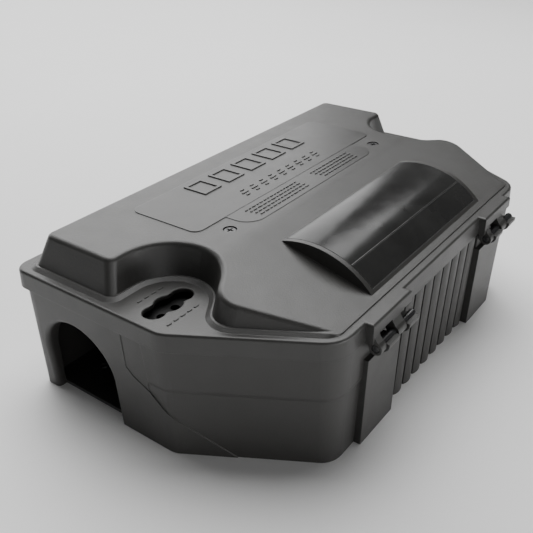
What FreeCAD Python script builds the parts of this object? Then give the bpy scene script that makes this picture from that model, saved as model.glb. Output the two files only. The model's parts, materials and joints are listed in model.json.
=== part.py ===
"""Lockable two-entry rodent bait station, in millimetres.

+X runs along the long side, +Y towards the wall that the station stands against, +Z up.
The origin is on the ground, under the middle of the lid's rim.
The lid is hinged along the front and swings up and over, away from the wall.
"""
import FreeCAD, Part
import math
import os
from FreeCAD import Vector

# Lid rim: a rectangle whose two front corners are cut off.
RIM_HALF_LENGTH = 157.0
RIM_BACK = 95.7
RIM_FRONT = -95.7
RIM_CUT_X = 112.4           # where the cut corner meets the front edge
RIM_CUT_Y = -17.8           # where the cut corner meets the end edge
RIM_BACK_R = 9.0
RIM_END_R = 16.0
RIM_FRONT_R = 18.0
RIM_TOP = 81.9
SKIRT_BOTTOM = 70.9
SKIRT_FLARE = 0.4
SKIRT_WALL = 2.0
RIM_EDGE_R = 1.6
LID_WALL = 2.4
RIB_XS = (-54.0, -27.0, 0.0, 27.0, 54.0)
RIB_WALL = 1.6
RIB_DEPTH = 6.0

# Raised top: a flat plateau at the back, and a ramp that falls to the front edge.
LID_TOP = 101.8
PLATEAU_HALF_LENGTH = 149.7
PLATEAU_BACK = 85.8
END_LEAN = 6.9              # how far the end and back walls lean in over their height
SIDE_LEAN = 4.7             # the same for the scoops, the ramp's sides and its front
RAMP_FOLD_Y = -16.0
RAMP_FOOT_Y = -91.0
RAMP_FOOT_Z = 82.6
RAMP_SIDE_GAP = 6.7         # between the ramp's side wall and the rim's cut corner
FOLD_R = 34.0
BACK_CORNER_R = 5.0
WAIST_CORNER_R = 5.0
BEND_R = 13.0
FRONT_CORNER_R = 8.0
TOP_EDGE_R = 3.0
PLINTH_REACH = 3.2
PLINTH_HEIGHT = 1.6
PLINTH_SLOPE = 2.6

# Scoops: round bays that leave the rim's ledge free around each key slot.
SCOOP_X = 133.5
SCOOP_Y = -2.5
SCOOP_R = 24.7
SCOOP_TURN = math.radians(58)
KEY_END_R = 6.0
KEY_MIDDLE_R = 7.7
KEY_SPACING = 10.5
KEY_NECK = 11.4
KEY_BEVEL = 0.5

# Arched cover on the ramp, a piece of a cylinder that lies along X.
ARCH_HALF_LENGTH = 69.8
ARCH_Y = -47.3
ARCH_Z = 48.0
ARCH_R = 53.3
ARCH_BORDER = 3.2
WINDOW_THICKNESS = 1.4
WINDOW_START = -18.5        # degrees from straight up, positive towards the front
WINDOW_END = 45.5
WINDOW_LINE = 28.0          # where a fine raised line crosses the window
WINDOW_LINE_R = 0.5

# Raised label plate on the plateau with a row of plain frames on it, and the lower plate in front.
LABEL_HALF_LENGTH = 95.0
LABEL_BACK = 61.1
LABEL_FRONT = 9.4
LABEL_HEIGHT = 0.4
LABEL_R = 6.0
SUBLABEL_HALF_LENGTH = 70.0
SUBLABEL_FRONT = -9.5
SUBLABEL_R = 12.0
SUBLABEL_HEIGHT = 0.25
FRAME_COUNT = 5
FRAME_PITCH = 23.0
FRAME_LENGTH = 15.5
FRAME_WIDTH = 18.0
FRAME_Y = 47.6
FRAME_LINE = 1.9
FRAME_HEIGHT = 0.6          # above the label plate

# Lid screws, one beside each scoop.
SCREW_X = 80.1
SCREW_Y = -2.0
SCREW_HEAD_R = 3.7
SCREW_SHANK_R = 1.9
SCREW_HEAD = 2.2
SCREW_SINK = 0.5            # how deep the head's top sits below the plateau
BOSS_R = 4.6
SLIP = 0.25                 # free gap round a screw or a fixed piece

# Base tub. Its walls lean out up to a seam just under the lid's skirt.
BASE_TOP = 78.9
SEAM_Z = 70.4               # top of the leaning wall; a thinner lip goes on up inside the lid
SEAM_GAP = 0.5              # from the rim's outline in to the tub's outline, at the seam
FOOT_GAP = 3.7              # the same at the ground
LIP_GAP = 3.0               # the same for the lip
FOOT_BACK_R = 5.0
SEAM_BACK_R = 15.0
BASE_WALL = 2.2
SHELF = 3.0                 # thickness of the ledge that carries the lip
FLOOR = 2.4
ENTRY_Y = 51.8
ENTRY_R = 27.3
ENTRY_TOP = 57.4
ENTRY_FLARE = 3.0           # radius of the rounded mouth of an entry
ENTRY_INNER_X = 147.6       # inner end of the collar round an entry, and edge of the floor there
COLLAR_WALL = 7.0
DRAIN_X = 147.0
DRAIN_Y = 85.0
DRAIN_R = 2.0
ANCHOR_X = 125.0
ANCHOR_BACK = 70.0
ANCHOR_FRONT = -25.0
ANCHOR_R = 2.6

RELIEF_DEPTH = 0.6          # shallow steps in the walls round the front end corners
RELIEF_TOP = 46.0
RELIEF_SLOPE = 2.5
# Side view (y, z) of the two steps: the lower one runs on round the corner.
RELIEF_LOW = ((-97, 0), (-97, 47), (-5, 47), (-4, 38.6), (-14, 30), (-24, 21), (-47, 0))
RELIEF_HIGH = ((10.8, 71), (10.8, 48), (6.3, 43.8), (-4, 38.6), (-5, 47), (-3.4, 71))

# Flutes and hinge pads on the front wall.
FLUTE_PITCH = 12.2
FLUTE_COUNT = 9
FLUTE_DEPTH = 2.0
FLUTE_TOP = 68.6
FLUTE_BACKING = 3.4
FLUTE_SLOT_WIDTH = 2.2      # narrow slot in the bottom of the groove between two flutes
FLUTE_SLOT_DEPTH = 3.7
PAD_FROM = 53.7
PAD_TO = 89.2
PAD_FACE = -95.6
PAD_LEAN = 2.0              # how far a pad's face leans out over its height
PAD_TOP = 58.0

# Hinge: each tab on the lid carries a rod, which two hooks on the tub hold from below.
HINGE_Y = -100.9
HINGE_Z = 67.4
ROD_R = 2.3
ROD_RUN = 0.05              # running clearance of the rod in its hooks
HOOK_R = 4.9
HOOK_LIP = 0.9              # height of a hook's front lip above the rod's axis
TAB_WIDTH = 40.9
TAB_STARTS = {"left": -91.1, "right": 50.2}
TAB_FACE = -100.4
# Spans along X from the start of a tab.
HOOKS = ((7.6, 19.0), (29.6, 41.0))
POCKETS = ((6.6, 20.0), (28.6, 42.0))
ROD_SPAN = (1.6, 42.8)
POCKET_TOP = 75.0

# Inside of the tub.
PARTITION_Y = 18.0
PARTITION_TOP = 66.0
PARTITION_WALL = 2.0
CHAMBER_HALF = 62.6
CHAMBER_DOOR = 44.0         # free length of the chamber's side, from the back partition

# Lock: a sliding bolt under each key slot, carried by a cover that the lid screw holds.
BOLT_BOTTOM = 71.0
BOLT_TOP = 76.0
BOLT_NOSE_X = 146.4
BOLT_TAIL_X = 112.0
BOLT_HALF_WIDTH = 8.0
BOLT_TRAVEL = 5.0
STRIKE_X = 147.2
STRIKE_BOTTOM = 76.5
STRIKE_HALF_WIDTH = 9.0
COVER_BOTTOM = 66.6
COVER_FLOOR = 2.0
RAIL_HALF_WIDTH = 11.0

# Bait tray, rods and blocks.
TRAY_HALF = 61.6
TRAY_BACK = 8.0
TRAY_FRONT = -84.0
TRAY_WALL = 1.8
TRAY_LIP = 12.0
TRAY_END_TOP = 34.0
BAIT_ROD_R = 1.6
BAIT_ROD_Z = 24.0
BAIT_ROD_YS = (-22.0, -58.0)
BLOCK_LENGTH = 27.0
BLOCK_WIDTH = 25.0
BLOCK_HEIGHT = 24.0
BLOCK_EDGE = 2.4
BLOCKS_PER_ROD = 3
BLOCK_PITCH = 36.0
POST_X = 88.0
POST_Y = -34.0
POST_TOP = 66.0
SOCKET_R = 5.0
SOCKET_HEIGHT = 9.0

SIDES = {"left": -1, "right": 1}


def rounded_wire(corners, z=0.0):
    """Closed wire at height z through (x, y, radius) corners, each one rounded by an arc."""
    count = len(corners)
    bends = []
    for i, (x, y, radius) in enumerate(corners):
        corner = Vector(x, y, z)
        previous = Vector(*corners[i - 1][:2], z)
        following = Vector(*corners[(i + 1) % count][:2], z)
        back = (previous - corner).normalize()
        onward = (following - corner).normalize()
        half = back.getAngle(onward) / 2
        reach = radius / math.tan(half)
        crown = (back + onward).normalize() * (radius / math.sin(half) - radius)
        bends.append((corner + back * reach, corner + crown, corner + onward * reach))
    edges = []
    for i, (start, crown, end) in enumerate(bends):
        if (end - start).Length > 1e-4:
            edges.append(Part.Arc(start, crown, end).toShape())
        next_start = bends[(i + 1) % count][0]
        if (next_start - end).Length > 1e-4:
            edges.append(Part.makeLine(end, next_start))
    return Part.Wire(edges)


def slab(corners, bottom, top):
    """Upright prism between two heights."""
    return Part.Face(rounded_wire(corners, bottom)).extrude(Vector(0, 0, top - bottom))


def drafted(low_corners, bottom, high_corners, top):
    """Solid between two outlines with the same number of corners."""
    wires = [rounded_wire(low_corners, bottom), rounded_wire(high_corners, top)]
    return Part.makeLoft(wires, True, True)


def profile_bar(corners, x_from, x_to):
    """Prism along X of a (y, z, radius) profile."""
    bar = Part.Face(rounded_wire(corners)).extrude(Vector(0, 0, x_to - x_from))
    bar.rotate(Vector(0, 0, 0), Vector(1, 1, 1), 120)
    bar.translate(Vector(x_from, 0, 0))
    return bar


def box(x_from, x_to, y_from, y_to, z_from, z_to):
    """Box between two corners, given in any order along each axis."""
    lows = [min(pair) for pair in ((x_from, x_to), (y_from, y_to), (z_from, z_to))]
    highs = [max(pair) for pair in ((x_from, x_to), (y_from, y_to), (z_from, z_to))]
    size = [high - low for low, high in zip(lows, highs)]
    return Part.makeBox(*size, Vector(*lows))


def rectangle(half_length, front, back, front_r, back_r):
    """Corners of a rectangle centred on X."""
    return [(half_length, back, back_r), (half_length, front, front_r),
            (-half_length, front, front_r), (-half_length, back, back_r)]


def upright(x, y, radius, bottom, top):
    """Vertical cylinder."""
    return Part.makeCylinder(radius, top - bottom, Vector(x, y, bottom))


def along_x(y, z, radius, x_from, x_to):
    """Cylinder along X, with its ends given in any order."""
    low, high = sorted((x_from, x_to))
    return Part.makeCylinder(radius, high - low, Vector(low, y, z), Vector(1, 0, 0))


def fuse(*shapes):
    """Union, with the seams between joined faces taken out."""
    return shapes[0].fuse(list(shapes[1:])).removeSplitter()


def save(name, shape):
    """Write one node's STEP file."""
    solids = shape.Solids
    if not shape.isValid() or not solids:
        raise ValueError(f"{name} has no valid solid")
    whole = solids[0] if len(solids) == 1 else Part.makeCompound(solids)
    whole.exportStep(f"parts/{name}.step")
    print(f"{name:24s} solids {len(solids)}  volume {whole.Volume / 1000:8.2f} cm3")


def mirrored(corners):
    """Right-hand corners followed by their mirror images, as one closed outline."""
    return corners + [(-x, y, radius) for x, y, radius in reversed(corners)]


def rim_outline(inset):
    """Corners of the rim's plan, moved inwards by inset."""
    run = Vector(RIM_CUT_X - RIM_HALF_LENGTH, RIM_FRONT - RIM_CUT_Y, 0).normalize()
    outward = Vector(-run.y, run.x, 0)
    level = outward.x * RIM_CUT_X + outward.y * RIM_FRONT - inset
    end = RIM_HALF_LENGTH - inset
    front = RIM_FRONT + inset
    return mirrored([
        (end, RIM_BACK - inset, RIM_BACK_R - inset),
        (end, (level - outward.x * end) / outward.y, RIM_END_R - inset),
        ((level - outward.y * front) / outward.x, front, RIM_FRONT_R - inset)])


def plateau_outline(share, wall=0.0):
    """Plan of the raised top at a share of its height, moved inwards by wall."""
    run = Vector(RIM_CUT_X - RIM_HALF_LENGTH, RIM_FRONT - RIM_CUT_Y, 0).normalize()
    outward = Vector(-run.y, run.x, 0)
    lean = SIDE_LEAN * share + wall
    end = PLATEAU_HALF_LENGTH - END_LEAN * share - wall
    back = PLATEAU_BACK - END_LEAN * share - wall
    front = RAMP_FOOT_Y + max(lean, 0)
    radius = SCOOP_R + lean
    bay = SCOOP_X - radius
    turn_y = SCOOP_Y - radius * math.tan(SCOOP_TURN / 2)
    level = outward.x * RIM_CUT_X + outward.y * RIM_FRONT - RAMP_SIDE_GAP - lean
    slant = Vector(math.sin(SCOOP_TURN), -math.cos(SCOOP_TURN), 0)
    reach = (level - outward.x * bay - outward.y * turn_y) / outward.dot(slant)
    return mirrored([
        (end, back, BACK_CORNER_R - wall),
        (end, SCOOP_Y + radius, WAIST_CORNER_R - wall),
        (bay, SCOOP_Y + radius, radius),
        (bay, turn_y, radius),
        (bay + slant.x * reach, turn_y + slant.y * reach, BEND_R - wall),
        ((level - outward.y * front) / outward.x, front, FRONT_CORNER_R - wall)])


def height_share(z):
    """Height z as a share of the raised top's full height."""
    return (z - RIM_TOP) / (LID_TOP - RIM_TOP)


def ramp_profile(drop, bottom):
    """Side view of the raised top: level at the back, then falling to the front."""
    slope = (LID_TOP - RAMP_FOOT_Z) / (RAMP_FOLD_Y - RAMP_FOOT_Y)
    far = 20.0
    return [(RIM_BACK, bottom, 0), (RIM_BACK, LID_TOP - drop, 0), (RAMP_FOLD_Y, LID_TOP - drop, FOLD_R),
            (RAMP_FOOT_Y - far, RAMP_FOOT_Z - slope * far - drop, 0), (RAMP_FOOT_Y - far, bottom, 0)]


def raised_top(wall, bottom):
    """Raised top as a solid, shrunk by wall on every side."""
    top = LID_TOP - wall
    form = drafted(plateau_outline(height_share(bottom), wall), bottom,
                   plateau_outline(height_share(top), wall), top)
    form = form.common(profile_bar(ramp_profile(wall, bottom), -RIM_HALF_LENGTH, RIM_HALF_LENGTH))
    level_edges = [e for e in form.Edges if e.BoundBox.ZMin > top - 0.01 and e.BoundBox.YMax > SCOOP_Y]
    return form.makeFillet(TOP_EDGE_R - wall, level_edges) if wall < TOP_EDGE_R - 0.5 else form


def arch_body(shrink):
    """Part of the arched cover's cylinder that rises through the ramp."""
    half = ARCH_HALF_LENGTH - shrink
    body = along_x(ARCH_Y, ARCH_Z, ARCH_R - shrink, -half, half)
    return body.common(box(-half, half, RAMP_FOOT_Y + shrink, RAMP_FOLD_Y, SKIRT_BOTTOM, LID_TOP))


def arch_sector(outer_r, inner_r, half, start, end):
    """Curved plate of the arch between two angles from straight up."""
    plate = along_x(ARCH_Y, ARCH_Z, outer_r, -half, half)
    plate = plate.cut(along_x(ARCH_Y, ARCH_Z, inner_r, -half, half))
    reach = 2 * ARCH_R
    wedge = [(ARCH_Y, ARCH_Z, 0)]
    for angle in (start, (start + end) / 2, end):
        turn = math.radians(angle)
        wedge.append((ARCH_Y - reach * math.sin(turn), ARCH_Z + reach * math.cos(turn), 0))
    return plate.common(profile_bar(wedge, -half, half))


def key_slot(side, bottom, top):
    """Three-lobed slot that lies along X, with a small bevel at the ledge."""
    x = side * SCOOP_X
    y = SCOOP_Y - 0.7
    lobes = [box(x - KEY_SPACING, x + KEY_SPACING, y - KEY_NECK / 2, y + KEY_NECK / 2, bottom, top)]
    for offset, radius in ((-KEY_SPACING, KEY_END_R), (0, KEY_MIDDLE_R), (KEY_SPACING, KEY_END_R)):
        lobes.append(upright(x + offset, y, radius, bottom, top))
        lobes.append(Part.makeCone(radius, radius + KEY_BEVEL, KEY_BEVEL,
                                   Vector(x + offset, y, RIM_TOP - KEY_BEVEL)))
    return fuse(*lobes)


def span(start, ends):
    """Two X values measured from a tab's start."""
    return start + ends[0], start + ends[1]


def hinge_tab(start):
    """One hinge tab of the rim, with lugs that carry the rod between pockets for the hooks."""
    tab = box(start, start + TAB_WIDTH, TAB_FACE, RIM_FRONT + SKIRT_WALL, SKIRT_BOTTOM, RIM_TOP)
    top_edge = [edge for edge in tab.Edges
                if abs(edge.CenterOfMass.z - RIM_TOP) < 0.01 and edge.CenterOfMass.y < RIM_FRONT]
    tab = tab.makeFillet(RIM_EDGE_R, top_edge)
    lug_r = ROD_R + 1.4
    lugs = []
    for ends in ((ROD_SPAN[0], POCKETS[0][0]), (POCKETS[0][1], POCKETS[1][0])):
        low, high = span(start, ends)
        eye = along_x(HINGE_Y, HINGE_Z, lug_r, low, high)
        stem = profile_bar([(HINGE_Y - lug_r, HINGE_Z, 0), (TAB_FACE, SKIRT_BOTTOM + 3, 0),
                            (RIM_FRONT, SKIRT_BOTTOM + 3, 0), (RIM_FRONT, SKIRT_BOTTOM, 0),
                            (HINGE_Y + lug_r, HINGE_Z, 0)], low, high)
        lugs += [eye, stem]
    pockets = [box(*span(start, ends), TAB_FACE - 1, RIM_FRONT + 0.6, SKIRT_BOTTOM - 1, POCKET_TOP)
               for ends in POCKETS]
    return [tab, *lugs], pockets


def label_plates():
    """Two low plates on the plateau, and the frames that stand on the larger one."""
    label = rectangle(LABEL_HALF_LENGTH, LABEL_FRONT, LABEL_BACK, LABEL_R, LABEL_R)
    sublabel = rectangle(SUBLABEL_HALF_LENGTH, SUBLABEL_FRONT, LABEL_FRONT + 1, SUBLABEL_R, 0)
    plates = [slab(label, LID_TOP - 1, LID_TOP + LABEL_HEIGHT),
              slab(sublabel, LID_TOP - 1, LID_TOP + SUBLABEL_HEIGHT)]
    top = LID_TOP + LABEL_HEIGHT + FRAME_HEIGHT
    front = FRAME_Y - FRAME_WIDTH / 2
    back = FRAME_Y + FRAME_WIDTH / 2
    for i in range(FRAME_COUNT):
        left = (i - (FRAME_COUNT - 1) / 2) * FRAME_PITCH - FRAME_LENGTH / 2
        right = left + FRAME_LENGTH
        frame = box(left, right, front, back, LID_TOP, top)
        middle = box(left + FRAME_LINE, right - FRAME_LINE, front + FRAME_LINE, back - FRAME_LINE,
                     LID_TOP - 1, top + 1)
        plates.append(frame.cut(middle))
    return plates


def lid_shell():
    """Lid moulding: rim, plinth, raised top, arch, hinge tabs and the features under it."""
    rim = drafted(rim_outline(-SKIRT_FLARE), SKIRT_BOTTOM, rim_outline(0), RIM_TOP)
    rim = rim.makeFillet(RIM_EDGE_R, [e for e in rim.Edges if abs(e.BoundBox.ZMin - RIM_TOP) < 0.01])
    plinth = drafted(plateau_outline(0, -PLINTH_REACH), RIM_TOP,
                     plateau_outline(0, PLINTH_SLOPE - PLINTH_REACH), RIM_TOP + PLINTH_HEIGHT)
    ramp = profile_bar(ramp_profile(0, SKIRT_BOTTOM), -RIM_HALF_LENGTH, RIM_HALF_LENGTH)
    outside = fuse(rim, plinth.common(ramp), raised_top(0, RIM_TOP - 1), arch_body(0))

    inside = slab(rim_outline(SKIRT_WALL), SKIRT_BOTTOM - 1, RIM_TOP - LID_WALL)
    hollow = raised_top(LID_WALL, RIM_TOP - LID_WALL - 1)
    inside = fuse(inside, hollow, arch_body(LID_WALL + WINDOW_THICKNESS))
    shell = outside.cut(inside)

    bosses = [box(x - RIB_WALL / 2, x + RIB_WALL / 2, SCREW_Y, PLATEAU_BACK - END_LEAN - LID_WALL,
                  LID_TOP - LID_WALL - RIB_DEPTH, LID_TOP - LID_WALL + 0.4) for x in RIB_XS]
    cuts = []
    for name, side in SIDES.items():
        tab_parts, pockets = hinge_tab(TAB_STARTS[name])
        shell = fuse(shell, *tab_parts).cut(pockets)
        x = side * SCREW_X
        bosses.append(upright(x, SCREW_Y, BOSS_R, BOLT_TOP + 1, LID_TOP - 1))
        head_floor = LID_TOP - SCREW_SINK - SCREW_HEAD
        cuts.append(upright(x, SCREW_Y, SCREW_HEAD_R + SLIP, head_floor, LID_TOP + 1))
        cuts.append(upright(x, SCREW_Y, SCREW_SHANK_R + SLIP, BOLT_TOP, LID_TOP))
        cuts.append(key_slot(side, RIM_TOP - LID_WALL - 1, RIM_TOP + 1))
        cuts.append(along_x(HINGE_Y, HINGE_Z, ROD_R + 0.02, *span(TAB_STARTS[name], ROD_SPAN)))
    cuts.append(arch_sector(ARCH_R + 5, ARCH_R - WINDOW_THICKNESS, ARCH_HALF_LENGTH - ARCH_BORDER,
                            WINDOW_START, WINDOW_END))
    return fuse(shell, *bosses, *label_plates()).cut(cuts)


def arch_window():
    """Smooth curved window plate that lies in the arch's recess."""
    half = ARCH_HALF_LENGTH - ARCH_BORDER - SLIP
    plate = arch_sector(ARCH_R, ARCH_R - WINDOW_THICKNESS, half, WINDOW_START + 0.25, WINDOW_END - 0.25)
    turn = math.radians(WINDOW_LINE)
    line_r = ARCH_R - WINDOW_LINE_R / 2
    line = along_x(ARCH_Y - line_r * math.sin(turn), ARCH_Z + line_r * math.cos(turn), WINDOW_LINE_R,
                   -half, half)
    return fuse(plate, line)


def lid_screw(side):
    """Countersunk-style lid screw with a cross recess."""
    x = side * SCREW_X
    head_top = LID_TOP - SCREW_SINK
    head_bottom = head_top - SCREW_HEAD
    head = upright(x, SCREW_Y, SCREW_HEAD_R, head_bottom, head_top)
    head = head.makeFillet(0.6, [e for e in head.Edges if abs(e.BoundBox.ZMin - head_top) < 0.01])
    shank = upright(x, SCREW_Y, SCREW_SHANK_R, COVER_BOTTOM + COVER_FLOOR, head_bottom)
    cross = [box(x - 2.2, x + 2.2, SCREW_Y - 0.5, SCREW_Y + 0.5, head_top - 1.3, head_top + 1),
             box(x - 0.5, x + 0.5, SCREW_Y - 2.2, SCREW_Y + 2.2, head_top - 1.3, head_top + 1)]
    return fuse(shank, head).cut(cross)


def tub_outline(z, inset=0.0):
    """Corners of the leaning wall's plan at height z, moved inwards by inset."""
    share = z / SEAM_Z
    corners = rim_outline(FOOT_GAP + (SEAM_GAP - FOOT_GAP) * share + inset)
    back_r = FOOT_BACK_R + (SEAM_BACK_R - FOOT_BACK_R) * share - min(inset, 3)
    return [(x, y, back_r if y > 0 else radius) for x, y, radius in corners]


def base_wall_solid(inset, bottom, top):
    """The leaning wall's outline between two heights as a solid."""
    return drafted(tub_outline(bottom, inset), bottom, tub_outline(top, inset), top)


def wall_relief():
    """Thin skins to take off the walls round the front end corners."""
    knee = RELIEF_TOP - RELIEF_SLOPE
    core = drafted(tub_outline(0, RELIEF_DEPTH), 0, tub_outline(knee, RELIEF_DEPTH), knee)
    shoulder = drafted(tub_outline(knee, RELIEF_DEPTH), knee, tub_outline(RELIEF_TOP), RELIEF_TOP)
    low_skin = base_wall_solid(-1, 0, RELIEF_TOP).cut([core, shoulder])
    high_skin = base_wall_solid(-1, 0, SEAM_Z).cut(base_wall_solid(RELIEF_DEPTH / 2, 0, SEAM_Z))
    skins = []
    for side in SIDES.values():
        ends = sorted((side * (PAD_TO - 1), side * RIM_HALF_LENGTH))
        for skin, outline in ((low_skin, RELIEF_LOW), (high_skin, RELIEF_HIGH)):
            window = profile_bar([(y, z, 0) for y, z in outline], *ends)
            skins.append(skin.common(window))
    return skins


def front_flutes():
    """Backing for the front wall, and the leaning grooves and slots to cut between its rounded flutes."""
    foot = RIM_FRONT + FOOT_GAP
    lean = math.degrees(math.atan((FOOT_GAP - SEAM_GAP) / SEAM_Z))
    half = FLUTE_PITCH / 2
    reach = half * FLUTE_COUNT
    radius = (half ** 2 + FLUTE_DEPTH ** 2) / (2 * FLUTE_DEPTH)
    backing = box(-reach, reach, foot + 1, foot + FLUTE_DEPTH + FLUTE_BACKING, 0, FLUTE_TOP)
    grooves = box(-reach, reach, foot - 3, foot + FLUTE_DEPTH, -5, FLUTE_TOP)
    flutes = [upright((i - (FLUTE_COUNT - 1) / 2) * FLUTE_PITCH, foot + radius, radius, -6, FLUTE_TOP + 1)
              for i in range(FLUTE_COUNT)]
    valleys = [i * FLUTE_PITCH - reach for i in range(1, FLUTE_COUNT)]
    slots = [box(x - FLUTE_SLOT_WIDTH / 2, x + FLUTE_SLOT_WIDTH / 2, foot - 3, foot + FLUTE_SLOT_DEPTH,
                 -5, FLUTE_TOP) for x in valleys]
    grooves = fuse(grooves.cut(flutes), *slots)
    for shape in (backing, grooves):
        shape.rotate(Vector(0, foot, 0), Vector(1, 0, 0), lean)
    return backing, grooves


def hinge_support(name, side):
    """Pad on the front wall, and two hooks that reach out under one hinge rod."""
    wall = RIM_FRONT + FOOT_GAP + 1.5
    pad = [(wall, 0, 0), (wall, PAD_TOP, 0), (PAD_FACE - PAD_LEAN, PAD_TOP, 0), (PAD_FACE, 0, 0)]
    parts = [profile_bar(pad, *sorted((side * PAD_FROM, side * PAD_TO)))]
    for ends in HOOKS:
        low, high = span(TAB_STARTS[name], ends)
        ring = along_x(HINGE_Y, HINGE_Z, HOOK_R, low, high)
        ring = ring.common(box(low, high, HINGE_Y - HOOK_R, HINGE_Y + HOOK_R, HINGE_Z - HOOK_R, HINGE_Z))
        lip = box(low, high, HINGE_Y - HOOK_R, HINGE_Y, HINGE_Z, HINGE_Z + HOOK_LIP)
        arm = box(low, high, HINGE_Y, wall, HINGE_Z - HOOK_R, HINGE_Z - ROD_R + 0.5)
        parts.append(fuse(ring, lip, arm))
    return parts


def entry_arch(side, radius, bottom, inner_x, outer_x):
    """Arch shape that runs through one end wall."""
    ends = sorted((side * inner_x, side * outer_x))
    springing = ENTRY_TOP - ENTRY_R
    arch = along_x(ENTRY_Y, springing, radius, *ends)
    arch = arch.common(box(*ends, ENTRY_Y - radius, ENTRY_Y + radius, springing, ENTRY_TOP + COLLAR_WALL))
    return fuse(arch, box(*ends, ENTRY_Y - radius, ENTRY_Y + radius, bottom, springing))


def entry_collar(side):
    """Thick ring round one entry, with a rounded mouth."""
    blank = entry_arch(side, ENTRY_R + COLLAR_WALL, 0, ENTRY_INNER_X, RIM_HALF_LENGTH + 1)
    blank = blank.common(base_wall_solid(0, 0, SEAM_Z))
    collar = blank.cut(entry_arch(side, ENTRY_R, -1, ENTRY_INNER_X - 1, RIM_HALF_LENGTH + 5))
    mouth = []
    for edge in collar.Edges:
        middle = edge.CenterOfMass
        near = math.hypot(middle.y - ENTRY_Y, max(middle.z - ENTRY_TOP + ENTRY_R, 0)) < ENTRY_R + 1
        if near and abs(middle.x) > ENTRY_INNER_X + 3 and edge.BoundBox.ZLength > 5:
            mouth.append(edge)
    return collar.makeFillet(ENTRY_FLARE, mouth)


def side_walls(side):
    """Moulded partitions, lock strike and post socket in one half of the tub."""
    end = RIM_HALF_LENGTH - LIP_GAP - BASE_WALL
    half_wall = PARTITION_WALL / 2
    front = RIM_FRONT + LIP_GAP + BASE_WALL - 0.2
    guide = box(side * CHAMBER_HALF, side * (end - 1), PARTITION_Y, PARTITION_Y + PARTITION_WALL,
                FLOOR - 0.5, PARTITION_TOP)
    chamber_side = box(side * CHAMBER_HALF, side * (CHAMBER_HALF + PARTITION_WALL), front,
                       PARTITION_Y - CHAMBER_DOOR, FLOOR - 0.5, PARTITION_TOP)
    door_post = box(side * CHAMBER_HALF, side * (CHAMBER_HALF + PARTITION_WALL), PARTITION_Y - 8,
                    PARTITION_Y + half_wall, FLOOR - 0.5, PARTITION_TOP)
    strike = box(side * STRIKE_X, side * (end + 0.6), SCOOP_Y - STRIKE_HALF_WIDTH,
                 SCOOP_Y + STRIKE_HALF_WIDTH, STRIKE_BOTTOM, BASE_TOP)
    offset = STRIKE_HALF_WIDTH + half_wall
    ribs = [box(side * (STRIKE_X + 1), side * (end + 0.6), y - half_wall, y + half_wall,
                FLOOR - 0.5, BASE_TOP) for y in (SCOOP_Y - offset, SCOOP_Y + offset)]
    socket = upright(side * POST_X, POST_Y, SOCKET_R, FLOOR - 0.5, FLOOR + SOCKET_HEIGHT)
    return [guide, chamber_side, door_post, strike, socket, *ribs]


def base_tub():
    """Tub moulding: floor, walls, lip, entries, partitions, flutes, pads and hinge hooks."""
    shelf_z = SEAM_Z - SHELF
    backing, grooves = front_flutes()
    lip = slab(rim_outline(LIP_GAP), shelf_z, BASE_TOP)
    inside = base_wall_solid(BASE_WALL, FLOOR, shelf_z)
    opening = slab(rim_outline(LIP_GAP + BASE_WALL), shelf_z - 1, BASE_TOP + 1)
    tub = fuse(base_wall_solid(0, 0, SEAM_Z), lip).cut([inside, opening, *wall_relief()])
    additions = [backing]
    cuts = [grooves]
    for name, side in SIDES.items():
        tub = tub.cut(entry_arch(side, ENTRY_R + COLLAR_WALL, -1, ENTRY_INNER_X, RIM_HALF_LENGTH + 5))
        additions += [entry_collar(side), *side_walls(side)]
        cuts.append(upright(side * DRAIN_X, DRAIN_Y, DRAIN_R, -1, FLOOR + 1))
        cuts.append(upright(side * POST_X, POST_Y, BAIT_ROD_R + SLIP / 5, FLOOR, FLOOR + SOCKET_HEIGHT + 1))
        cuts += [upright(side * ANCHOR_X, y, ANCHOR_R, -1, FLOOR + 1) for y in (ANCHOR_BACK, ANCHOR_FRONT)]
    supports = []
    rod_rooms = []
    for name, side in SIDES.items():
        supports += hinge_support(name, side)
        ends = span(TAB_STARTS[name], (0, TAB_WIDTH + 2))
        rod_rooms.append(along_x(HINGE_Y, HINGE_Z, ROD_R + ROD_RUN, *ends))
        rod_rooms.append(box(*ends, HINGE_Y - ROD_R - ROD_RUN, HINGE_Y + ROD_R, HINGE_Z, HINGE_Z + HOOK_R))
    tub = fuse(tub, *additions).cut(cuts)
    return fuse(tub, *supports).cut(rod_rooms)


def hinge_rod(start):
    """Round rod through the lugs of one hinge tab."""
    rod = along_x(HINGE_Y, HINGE_Z, ROD_R, *span(start, ROD_SPAN))
    return rod.makeFillet(0.8, [e for e in rod.Edges if e.BoundBox.XLength < 0.01])


def lock_bolt(side):
    """Sliding bolt under one key slot, with two key holes and a bevelled nose."""
    bolt = box(side * BOLT_TAIL_X, side * BOLT_NOSE_X, SCOOP_Y - BOLT_HALF_WIDTH, SCOOP_Y + BOLT_HALF_WIDTH,
               BOLT_BOTTOM, BOLT_TOP)
    upright_edges = [e for e in bolt.Edges if e.BoundBox.ZLength > BOLT_TOP - BOLT_BOTTOM - 0.01]
    bolt = bolt.makeFillet(1.5, upright_edges)
    holes = [upright(side * SCOOP_X + offset, SCOOP_Y, 2.6, BOLT_BOTTOM - 1, BOLT_TOP + 1)
             for offset in (-KEY_SPACING / 2, KEY_SPACING / 2)]
    return bolt.cut(holes)


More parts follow.
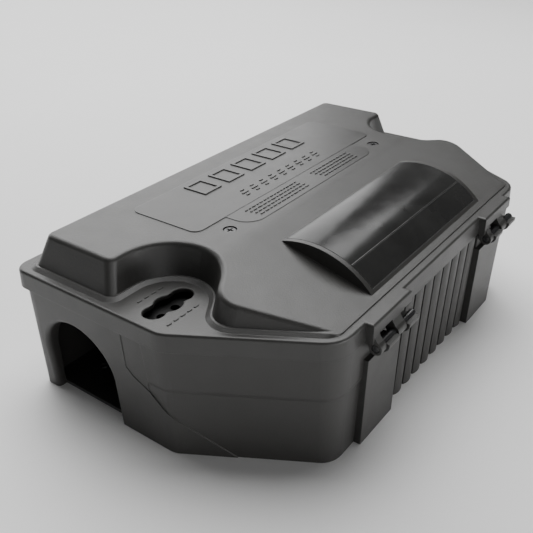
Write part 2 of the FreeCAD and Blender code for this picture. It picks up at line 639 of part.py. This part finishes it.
def lock_cover(side):
    """Carrier under one bolt: a floor with two guide rails, held at its inner end by the lid screw."""
    floor_top = COVER_BOTTOM + COVER_FLOOR
    outer, inner = side * (BOLT_NOSE_X - 3), side * (SCREW_X - BOSS_R - 2)
    rail_y = BOLT_HALF_WIDTH + SLIP
    parts = [box(inner, outer, SCOOP_Y - RAIL_HALF_WIDTH, SCOOP_Y + RAIL_HALF_WIDTH, COVER_BOTTOM, floor_top)]
    for lean in (-1, 1):
        parts.append(box(side * (BOLT_TAIL_X - 4), outer, SCOOP_Y + lean * rail_y,
                         SCOOP_Y + lean * RAIL_HALF_WIDTH, floor_top - 0.5, BOLT_TOP + 0.6))
    for x in (BOLT_TAIL_X + 5, SCOOP_X + 3):
        parts.append(box(side * (x - 1.5), side * (x + 1.5), SCOOP_Y - 5, SCOOP_Y + 5,
                         floor_top - 0.5, BOLT_BOTTOM - SLIP))
    boss_top = BOLT_TOP + 1 - SLIP / 2
    parts.append(upright(side * SCREW_X, SCREW_Y, BOSS_R, floor_top - 0.5, boss_top))
    return fuse(*parts).cut(upright(side * SCREW_X, SCREW_Y, SCREW_SHANK_R + 0.05, floor_top, boss_top + 1))


def lock_spring(side):
    """Flat spring strip behind one bolt's tail, clipped over the cover's floor."""
    tail = side * (BOLT_TAIL_X - BOLT_TRAVEL - 4)
    floor_top = COVER_BOTTOM + COVER_FLOOR + 0.05
    foot = box(tail - side * 10, tail, SCOOP_Y - 3, SCOOP_Y + 3, floor_top, floor_top + 0.5)
    leaf = box(tail, tail - side * 0.5, SCOOP_Y - 3, SCOOP_Y + 3, floor_top, BOLT_TOP - 1)
    return fuse(foot, leaf)


def bait_tray():
    """Lift-out tray of the middle chamber, with slotted end walls for the bait rods."""
    bottom = FLOOR + SLIP
    outside = box(-TRAY_HALF, TRAY_HALF, TRAY_FRONT, TRAY_BACK, bottom, TRAY_END_TOP)
    outside = outside.makeFillet(3, [e for e in outside.Edges if e.BoundBox.ZLength > 20])
    tray = outside.cut(box(-TRAY_HALF + TRAY_WALL, TRAY_HALF - TRAY_WALL, TRAY_FRONT + TRAY_WALL,
                           TRAY_BACK - TRAY_WALL, bottom + TRAY_WALL, TRAY_END_TOP + 1))
    open_half = TRAY_HALF - 2 * TRAY_WALL
    tray = tray.cut(box(-open_half, open_half, TRAY_FRONT - 1, TRAY_BACK + 1, TRAY_LIP, TRAY_END_TOP + 1))
    slots = []
    for y in BAIT_ROD_YS:
        radius = BAIT_ROD_R + SLIP / 2
        slots.append(along_x(y, BAIT_ROD_Z, radius, -TRAY_HALF - 1, TRAY_HALF + 1))
        slots.append(box(-TRAY_HALF - 1, TRAY_HALF + 1, y - radius, y + radius, BAIT_ROD_Z, TRAY_END_TOP + 1))
    return tray.cut(slots)


def bait_rod(y):
    """Straight rod that carries a row of bait blocks across the tray."""
    rod = along_x(y, BAIT_ROD_Z, BAIT_ROD_R, -TRAY_HALF + 0.2, TRAY_HALF - 0.2)
    return rod.makeChamfer(0.4, [e for e in rod.Edges if e.BoundBox.XLength < 0.01])


def bait_block(x, y, z):
    """Chamfered bait block with a through hole, lying along X and centred at the origin's offset."""
    half = (BLOCK_LENGTH / 2, BLOCK_WIDTH / 2, BLOCK_HEIGHT / 2)
    block = box(-half[0], half[0], -half[1], half[1], -half[2], half[2])
    block = block.makeChamfer(BLOCK_EDGE, block.Edges)
    block = block.cut(along_x(0, 0, BAIT_ROD_R + SLIP, -BLOCK_LENGTH, BLOCK_LENGTH))
    block.translate(Vector(x, y, z))
    return block


def bait_post(side):
    """Upright rod in a floor socket, for one more block in the side chamber."""
    post = upright(side * POST_X, POST_Y, BAIT_ROD_R, FLOOR, POST_TOP)
    return post.makeChamfer(0.4, [e for e in post.Edges if e.BoundBox.ZLength < 0.01])


def post_block(side):
    """Block threaded on an upright rod."""
    block = bait_block(0, 0, 0)
    block.rotate(Vector(0, 0, 0), Vector(0, 1, 0), 90)
    block.translate(Vector(side * POST_X, POST_Y, FLOOR + SOCKET_HEIGHT + SLIP + BLOCK_LENGTH / 2))
    return block


def main():
    os.makedirs("parts", exist_ok=True)
    save("lid_shell", lid_shell())
    save("base_tub", base_tub())
    save("arch_window", arch_window())
    save("bait_tray", bait_tray())
    for name, side in SIDES.items():
        save(f"hinge_rod_{name}", hinge_rod(TAB_STARTS[name]))
        save(f"lid_screw_{name}", lid_screw(side))
        save(f"lock_bolt_{name}", lock_bolt(side))
        save(f"lock_cover_{name}", lock_cover(side))
        save(f"lock_spring_{name}", lock_spring(side))
        save(f"bait_post_{name}", bait_post(side))
        save(f"post_block_{name}", post_block(side))
    for row, y in zip(("back", "front"), BAIT_ROD_YS):
        save(f"bait_rod_{row}", bait_rod(y))
        for i in range(BLOCKS_PER_ROD):
            x = (i - (BLOCKS_PER_ROD - 1) / 2) * BLOCK_PITCH
            save(f"bait_block_{row}_{i + 1}", bait_block(x, y, BAIT_ROD_Z))


main()
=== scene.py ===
import json
import math
import random

import bmesh
import bpy
from mathutils import Matrix, Vector

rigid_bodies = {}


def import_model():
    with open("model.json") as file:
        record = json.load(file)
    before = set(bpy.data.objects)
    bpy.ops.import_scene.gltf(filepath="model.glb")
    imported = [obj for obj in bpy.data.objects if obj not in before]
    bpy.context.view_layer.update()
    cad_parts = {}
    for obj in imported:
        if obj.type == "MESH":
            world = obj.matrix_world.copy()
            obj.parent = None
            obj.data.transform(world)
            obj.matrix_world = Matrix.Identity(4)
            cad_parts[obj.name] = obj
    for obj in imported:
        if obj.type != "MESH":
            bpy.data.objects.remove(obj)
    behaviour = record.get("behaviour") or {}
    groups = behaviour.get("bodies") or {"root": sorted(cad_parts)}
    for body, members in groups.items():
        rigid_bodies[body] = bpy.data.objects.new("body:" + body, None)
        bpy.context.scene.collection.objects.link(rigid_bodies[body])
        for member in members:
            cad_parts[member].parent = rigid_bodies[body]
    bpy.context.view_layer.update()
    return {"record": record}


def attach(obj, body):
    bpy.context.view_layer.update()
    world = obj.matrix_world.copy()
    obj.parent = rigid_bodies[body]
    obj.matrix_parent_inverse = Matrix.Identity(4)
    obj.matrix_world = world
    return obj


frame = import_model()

MM = 0.001

# Heights and places on the lid that the raised marks follow, in millimetres.
PLATE_Z = 102.2             # top of the label plate
LOW_PLATE_Z = 102.05        # top of the lower plate in front of it
LEDGE_Z = 81.9              # ledge round a key slot
SCOOP_X = 133.5
SCOOP_Y = -2.5
MARK_HEIGHT = 0.5
MARK_SINK = 0.15            # how far a mark's foot goes into the surface
MARK_BEVEL = 0.28
CORNER_STEPS = 3            # points along each rounded corner of a mark
DASH_PITCH = 9.6
DASH_SHIFT = 1.2            # sideways, from one short row to the next

# Camera: place in millimetres, angles in degrees.
CAMERA_PLACE = (-351.9, -233.8, 284.8)
CAMERA_HEADING = -52.72
CAMERA_DIP = 30.19          # below level
CAMERA_ROLL = -1.26
SENSOR_WIDTH = 36
LENS = 48.73
FLOOR_REACH = 8             # metres


# ---------------------------------------------------------------- materials

class Tree:
    """Node tree of one new material, with short calls for adding and joining nodes."""

    def __init__(self, name):
        self.material = bpy.data.materials.new(name)
        self.material.use_nodes = True
        self.nodes = self.material.node_tree.nodes
        self.links = self.material.node_tree.links
        self.shader = self.nodes["Principled BSDF"]
        self.place = self.add("ShaderNodeTexCoord").outputs["Object"]

    def add(self, kind, settings=None, **sockets):
        """Add a node. Socket names have underscores for spaces; a value may be another node's output."""
        node = self.nodes.new(kind)
        for key, value in (settings or {}).items():
            setattr(node, key, value)
        for key, value in sockets.items():
            self.feed(node.inputs[key.replace("_", " ")], value)
        return node

    def feed(self, socket, value):
        """Set a socket, or link it when value is an output."""
        if isinstance(value, bpy.types.NodeSocket):
            self.links.new(value, socket)
        else:
            socket.default_value = value

    def noise(self, scale, detail=3.0, roughness=0.5, place=None):
        """Noise between 0 and 1; scale is in features per metre."""
        node = self.add("ShaderNodeTexNoise", Scale=scale, Detail=detail, Roughness=roughness,
                        Vector=place or self.place)
        return node.outputs["Fac"]

    def stretched(self, x, y, z):
        """Place, with each axis scaled."""
        return self.add("ShaderNodeMapping", Vector=self.place, Scale=(x, y, z)).outputs["Vector"]

    def ramp(self, value, low, high, to_low=0.0, to_high=1.0):
        """Value carried from low...high to a new range, and held there."""
        node = self.add("ShaderNodeMapRange", Value=value, From_Min=low, From_Max=high,
                        To_Min=to_low, To_Max=to_high)
        return node.outputs["Result"]

    def math(self, operation, first, second):
        """One arithmetic step."""
        node = self.nodes.new("ShaderNodeMath")
        node.operation = operation
        self.feed(node.inputs[0], first)
        self.feed(node.inputs[1], second)
        return node.outputs[0]

    def mix(self, share, first, second):
        """Blend of two colours."""
        node = self.nodes.new("ShaderNodeMix")
        node.data_type = "RGBA"
        self.feed(node.inputs[0], share)
        self.feed(node.inputs[6], first)
        self.feed(node.inputs[7], second)
        return node.outputs[2]

    def edges(self, radius):
        """Softened normal near edges, and a mask that is 1 on the sharpest of them."""
        soft = self.add("ShaderNodeBevel", {"samples": 4}, Radius=radius).outputs["Normal"]
        plain = self.add("ShaderNodeNewGeometry").outputs["Normal"]
        dot = self.nodes.new("ShaderNodeVectorMath")
        dot.operation = "DOT_PRODUCT"
        self.links.new(soft, dot.inputs[0])
        self.links.new(plain, dot.inputs[1])
        return soft, self.ramp(dot.outputs["Value"], 0.995, 0.86)

    def upward(self):
        """1 on faces that look up in the piece's own rest position."""
        normal = self.add("ShaderNodeTexCoord").outputs["Normal"]
        height = self.add("ShaderNodeSeparateXYZ", Vector=normal).outputs["Z"]
        return self.ramp(height, 0.6, 0.98)

    def bump(self, height, depth, normal=None):
        """Bump of a given depth in metres over an earlier normal."""
        node = self.add("ShaderNodeBump", Height=height, Distance=depth, Strength=1.0)
        if normal is not None:
            self.links.new(normal, node.inputs["Normal"])
        return node.outputs["Normal"]

    def finish(self, colour, rough, normal, **sockets):
        """Join everything to the shader."""
        self.feed(self.shader.inputs["Base Color"], colour)
        self.feed(self.shader.inputs["Roughness"], rough)
        self.links.new(normal, self.shader.inputs["Normal"])
        for key, value in sockets.items():
            self.shader.inputs[key.replace("_", " ")].default_value = value
        return self.material


def moulded(name, base, rough, grain=1.0, edge=0.0005, top_patch_strength=0.0, specular=0.5, smooth_above=1.0):
    """Spark-textured moulded plastic with mottling, fine pebble grain, a painted highlight on sharp edges
    broken into scuffed-looking patches, and lighter warm-grey patches on up-facing faces.

    Above the height smooth_above, in metres, it is smoother and a little darker.
    """
    tree = Tree(name)
    dark = tuple(0.92 * v for v in base) + (1,)
    light = tuple(1.08 * v for v in base) + (1,)
    # Painted highlight colour for sharp edges; in patches it also stands in for scuffed wear.
    edge_highlight_and_rub = tuple(1.5 * v + 0.012 for v in base) + (1,)
    cloud = tree.ramp(tree.noise(16, 4, 0.6), 0.3, 0.7)
    speck = tree.ramp(tree.noise(1400, 2), 0.35, 0.65)
    colour = tree.mix(cloud, dark, light)
    colour = tree.mix(tree.math("MULTIPLY", speck, 0.22), colour, light)
    soft, sharp_edge = tree.edges(edge)
    patchy = tree.ramp(tree.noise(210, 3), 0.4, 0.62, 0.45, 0.9)
    level = tree.add("ShaderNodeSeparateXYZ", Vector=tree.place).outputs["Z"]
    smooth = tree.ramp(level, smooth_above - 0.00002, smooth_above + 0.00002)
    colour = tree.mix(tree.math("MULTIPLY", smooth, 0.45), colour, tuple(0.45 * v for v in base) + (1,))
    # Painted highlight on sharp edges, in patches that also look like scuffed wear.
    colour = tree.mix(tree.math("MULTIPLY", sharp_edge, patchy), colour, edge_highlight_and_rub)
    # Lighter warm-grey patches on faces that look up, mixed in at the given strength.
    if top_patch_strength:
        top_patch_noise = tree.ramp(tree.noise(38, 5, 0.65), 0.42, 0.75)
        share = tree.math("MULTIPLY", tree.math("MULTIPLY", tree.upward(), top_patch_noise), top_patch_strength)
        colour = tree.mix(share, colour, (0.3, 0.29, 0.27, 1))
    streak = tree.ramp(tree.noise(60, 4, 0.7, tree.stretched(1, 14, 6)), 0.56, 0.72)
    gloss = tree.ramp(tree.noise(70, 4), 0.3, 0.7, rough - 0.025, rough + 0.035)
    gloss = tree.math("SUBTRACT", gloss, tree.math("MULTIPLY", streak, 0.045))
    gloss = tree.math("SUBTRACT", gloss, tree.math("MULTIPLY", smooth, 0.07))
    pebble = tree.add("ShaderNodeTexVoronoi", {"feature": "SMOOTH_F1"}, Vector=tree.place, Scale=900.0)
    coarse = tree.math("MULTIPLY", pebble.outputs["Distance"], 0.7)
    height = tree.math("ADD", coarse, tree.noise(2600, 2))
    height = tree.math("MULTIPLY", height, tree.ramp(smooth, 0, 1, 1, 0.25))
    normal = tree.bump(height, 0.00006 * grain, soft)
    normal = tree.bump(tree.noise(24, 2), 0.00018, normal)
    return tree.finish(colour, gloss, normal, Specular_IOR_Level=specular)


def polished(name, base):
    """Polished dark plastic with faint flow waves, hairline scratches, finger marks and a painted highlight
    along its sharp edges.
    """
    tree = Tree(name)
    smear = tree.ramp(tree.noise(34, 5, 0.65), 0.35, 0.75)
    colour = tree.mix(smear, tuple(0.85 * v for v in base) + (1,), tuple(1.3 * v for v in base) + (1,))
    soft, sharp_edge = tree.edges(0.0004)
    # Painted highlight: the window's sharp edges are lightened towards pale grey.
    colour = tree.mix(tree.math("MULTIPLY", sharp_edge, 0.7), colour, (0.16, 0.16, 0.155, 1))
    hair = tree.ramp(tree.noise(240, 6, 0.8, tree.stretched(0.3, 9, 9)), 0.6, 0.72)
    rough = tree.math("ADD", tree.ramp(smear, 0, 1, 0.16, 0.24), tree.math("MULTIPLY", hair, 0.12))
    normal = tree.bump(tree.noise(30, 2), 0.0003, soft)
    normal = tree.bump(hair, 0.000006, normal)
    return tree.finish(colour, rough, normal, Specular_IOR_Level=0.3)


def steel(name, base, rough, along):
    """Drawn or rolled steel with fine lines along one axis and a little tarnish."""
    tree = Tree(name)
    lines = tree.noise(900, 3, 0.6, tree.stretched(*along))
    tarnish = tree.ramp(tree.noise(120, 5, 0.7), 0.5, 0.75)
    colour = tree.mix(tarnish, base + (1,), tuple(0.55 * v for v in base) + (1,))
    soft, _ = tree.edges(0.0003)
    gloss = tree.math("ADD", tree.ramp(lines, 0.3, 0.7, rough - 0.06, rough + 0.08),
                      tree.math("MULTIPLY", tarnish, 0.15))
    normal = tree.bump(lines, 0.00001, soft)
    return tree.finish(colour, gloss, normal, Metallic=1.0)


def pressed_bait(name):
    """Waxy pressed block: grain flakes in two sizes, pits and a dull skin."""
    tree = Tree(name)
    cells = tree.add("ShaderNodeTexVoronoi", Vector=tree.place, Scale=320.0)
    shade = tree.add("ShaderNodeSeparateColor", Color=cells.outputs["Color"]).outputs[0]
    colour = tree.mix(shade, (0.02, 0.13, 0.115, 1), (0.055, 0.27, 0.22, 1))
    husk = tree.ramp(tree.noise(520, 3, 0.6), 0.62, 0.68)
    colour = tree.mix(tree.math("MULTIPLY", husk, 0.8), colour, (0.42, 0.36, 0.2, 1))
    soft, sharp_edge = tree.edges(0.0008)
    colour = tree.mix(tree.math("MULTIPLY", sharp_edge, 0.4), colour, (0.16, 0.42, 0.36, 1))
    rough = tree.ramp(tree.noise(90, 3), 0.3, 0.7, 0.5, 0.72)
    normal = tree.bump(cells.outputs["Distance"], 0.0005, soft)
    normal = tree.bump(tree.noise(700, 3), 0.00025, normal)
    return tree.finish(colour, rough, normal, Specular_IOR_Level=0.4)


MATERIALS = {
    "tub_plastic": moulded("tub plastic", (0.034, 0.0332, 0.0315), 0.44, grain=0.8, top_patch_strength=0.03),
    "lid_plastic": moulded("lid plastic", (0.028, 0.0274, 0.0258), 0.4, top_patch_strength=0.025, specular=0.58,
                           smooth_above=0.102),
    "window_gloss": polished("window gloss", (0.02, 0.02, 0.0195)),
    "tray_plastic": moulded("tray plastic", (0.035, 0.035, 0.034), 0.4, grain=0.5, edge=0.0004),
    "lock_plastic": moulded("lock plastic", (0.012, 0.012, 0.012), 0.5, grain=0.3, edge=0.0004,
                            specular=0.15),
    "hinge_plastic": moulded("hinge plastic", (0.02, 0.02, 0.021), 0.28, grain=0.2, edge=0.0004),
    "bait_wax": pressed_bait("bait wax"),
    "rod_steel": steel("rod steel", (0.52, 0.52, 0.53), 0.3, (0.05, 1, 1)),
    "spring_steel": steel("spring steel", (0.46, 0.46, 0.48), 0.26, (1, 0.05, 1)),
    "screw_black": moulded("screw black", (0.03, 0.03, 0.031), 0.33, grain=0.25, edge=0.0003, specular=0.7),
}


def paint(obj, slot):
    """Give an object one material in place of what it has."""
    obj.data.materials.clear()
    obj.data.materials.append(MATERIALS[slot])


def paint_frame():
    """Every carried-over CAD node takes the material of its slot."""
    for part in frame["record"]["subparts"]:
        paint(bpy.data.objects[part["node"]], part["material_slot"])


# ---------------------------------------------------------------- raised marks on the lid

def raised_bar(form, x, y, z, length, width):
    """Add one pillow-edged bar to a bmesh; x, y is its middle, z the surface it stands on (mm)."""
    bevel = min(MARK_BEVEL, width / 4)
    quarter = math.pi / 2
    rings = []
    for inset, height in ((0, -MARK_SINK), (0, MARK_HEIGHT - bevel), (bevel, MARK_HEIGHT)):
        half_x = length / 2 - inset
        half_y = width / 2 - inset
        corner = min(0.45 * min(length, width), half_x, half_y)
        ring = []
        for step in range(4 * CORNER_STEPS):
            side, part = divmod(step, CORNER_STEPS)
            turn = quarter * part / (CORNER_STEPS - 1) + quarter * side
            sign_x = 1 if side in (0, 3) else -1
            sign_y = 1 if side in (0, 1) else -1
            place = Vector((x + sign_x * (half_x - corner) + corner * math.cos(turn),
                            y + sign_y * (half_y - corner) + corner * math.sin(turn), z + height))
            ring.append(form.verts.new(place * MM))
        rings.append(ring)
    for low, high in zip(rings, rings[1:]):
        for i in range(len(low)):
            form.faces.new((low[i - 1], low[i], high[i], high[i - 1]))
    form.faces.new(rings[-1])
    form.faces.new(list(reversed(rings[0])))


def marks(name, bars):
    """One object of raised bars, moulded with the lid."""
    form = bmesh.new()
    for bar in bars:
        raised_bar(form, *bar)
    mesh = bpy.data.meshes.new(name)
    form.to_mesh(mesh)
    form.free()
    obj = bpy.data.objects.new(name, mesh)
    bpy.context.scene.collection.objects.link(obj)
    paint(obj, "lid_plastic")
    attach(obj, "lid")


def label_marks():
    """Plain raised dashes in three short rows on the label plate."""
    dashes = []
    for i in range(9):
        x = -37 + DASH_PITCH * i
        dashes.append((x, 21.0, PLATE_Z, 6.0, 1.6))
        dashes.append((x + DASH_SHIFT, 24.4, PLATE_Z, 3.4, 1.4))
        dashes.append((x - DASH_SHIFT, 17.6, PLATE_Z, 3.4, 1.4))
    marks("label_dashes", dashes)


def fine_marks():
    """Two blocks of fine dashes, in four rows each, on the lower plate."""
    chance = random.Random(7)
    bars = []
    for start, end in ((-58, -4), (10, 56)):
        for row in range(4):
            x = start + row * 0.8
            while x < end - 4:
                length = chance.uniform(1.6, 4.2)
                bars.append((x + length / 2, 4.6 - 3.2 * row, LOW_PLATE_Z, length, 0.9))
                x += length + 1.1
    marks("fine_marks", bars)


def slot_marks():
    """Short dashes on the ledge at each key slot, outside and inside the slot."""
    bars = []
    for side in (-1, 1):
        for i in range(4):
            bars.append((side * (SCOOP_X - 8 + 5.2 * i), SCOOP_Y + 12.4, LEDGE_Z, 3.2, 1.1))
        for i in range(5):
            bars.append((side * (SCOOP_X - 6 + 5.0 * i), SCOOP_Y - 14.6, LEDGE_Z, 3.4, 1.4))
    marks("slot_marks", bars)


# ---------------------------------------------------------------- camera, lights and floor

def new_camera():
    """Camera at the photograph's place and angle."""
    data = bpy.data.cameras.new("camera")
    data.sensor_width = SENSOR_WIDTH
    data.lens = LENS
    camera = bpy.data.objects.new("camera", data)
    bpy.context.scene.collection.objects.link(camera)
    turn = Matrix.Rotation(math.radians(CAMERA_HEADING), 4, "Z")
    tilt = Matrix.Rotation(math.radians(90 - CAMERA_DIP), 4, "X")
    roll = Matrix.Rotation(math.radians(CAMERA_ROLL), 4, "Z")
    camera.matrix_world = Matrix.Translation(Vector(CAMERA_PLACE) * MM) @ turn @ tilt @ roll
    bpy.context.scene.camera = camera


def area(name, place, size, power, target=(0, 0, 0.05)):
    """Soft rectangular lamp that faces the target."""
    data = bpy.data.lights.new(name, "AREA")
    data.shape = "RECTANGLE"
    data.size, data.size_y = size
    data.energy = power
    lamp = bpy.data.objects.new(name, data)
    lamp.location = place
    lamp.rotation_euler = (Vector(target) - Vector(place)).to_track_quat("-Z", "Y").to_euler()
    bpy.context.scene.collection.objects.link(lamp)


def studio():
    """Large soft lamps, strongest above and behind, and a faint even surround."""
    area("overhead", (0.5, 0.35, 1.4), (1.6, 1.4), 35)
    area("behind", (0.85, 1.9, 0.85), (2.8, 1.7), 37)
    area("front", (0.25, -1.7, 0.15), (1.2, 0.35), 10)
    area("fill", (-0.9, -1.4, 0.3), (1.6, 0.6), 5)
    world = bpy.data.worlds.new("world")
    bpy.context.scene.world = world
    world.use_nodes = True
    surround = world.node_tree.nodes["Background"]
    surround.inputs["Color"].default_value = (1, 1, 1, 1)
    surround.inputs["Strength"].default_value = 0.07


def new_floor():
    """Plain pale floor."""
    reach = FLOOR_REACH
    corners = [(-reach, -reach, 0), (reach, -reach, 0), (reach, reach, 0), (-reach, reach, 0)]
    mesh = bpy.data.meshes.new("floor")
    mesh.from_pydata(corners, [], [(0, 1, 2, 3)])
    floor = bpy.data.objects.new("floor", mesh)
    bpy.context.scene.collection.objects.link(floor)
    tree = Tree("floor")
    cloud = tree.ramp(tree.noise(2, 3), 0.3, 0.7)
    colour = tree.mix(cloud, (0.91, 0.91, 0.905, 1), (0.94, 0.94, 0.94, 1))
    floor.data.materials.append(tree.finish(colour, 0.7, tree.bump(tree.noise(400, 2), 0.00002)))


new_camera()
studio()
new_floor()
paint_frame()
label_marks()
fine_marks()
slot_marks()
